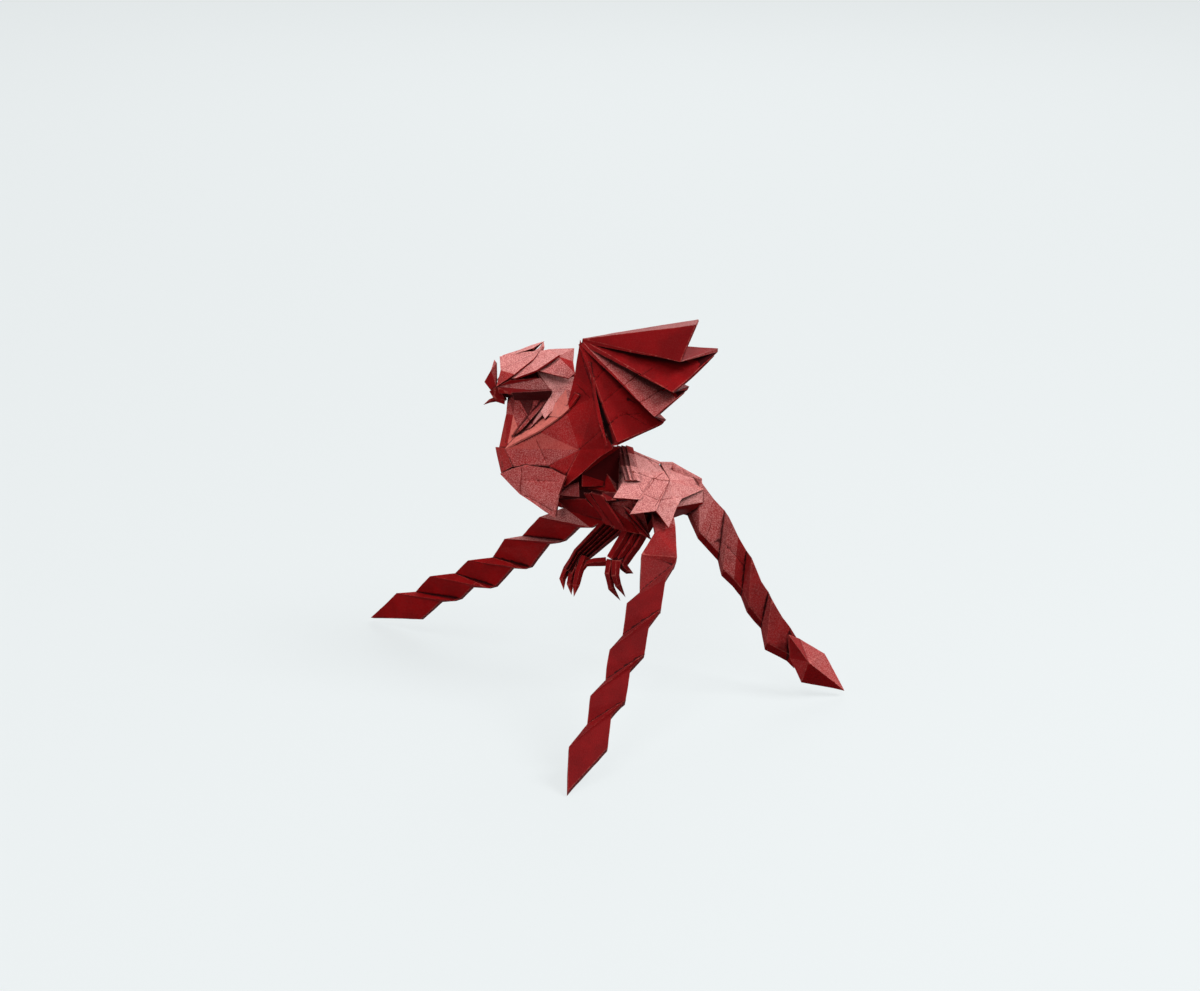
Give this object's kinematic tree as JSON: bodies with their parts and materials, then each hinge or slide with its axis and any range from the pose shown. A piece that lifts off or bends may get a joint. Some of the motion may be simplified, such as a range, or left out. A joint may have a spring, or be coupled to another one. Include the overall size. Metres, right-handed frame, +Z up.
{
  "type": "origami phoenix",
  "caption": "Folded red paper bird with pleated fan wings, a crested head and clawed legs, standing on long twisted paper tails.",
  "frame": {"origin": "middle of the bounding box in plan, on the surface that the tail tips stand on", "axes": "+X from the bird's head towards its rear tail, +Y to the bird's right side, +Z up"},
  "size_m": [0.207, 0.1914, 0.1641],
  "materials": {
    "red_paper": "matte grained red paper with paler worn fold edges"
  },
  "bodies": {
    "root": {"folded_phoenix": "red_paper"}
  },
  "joints": []
}
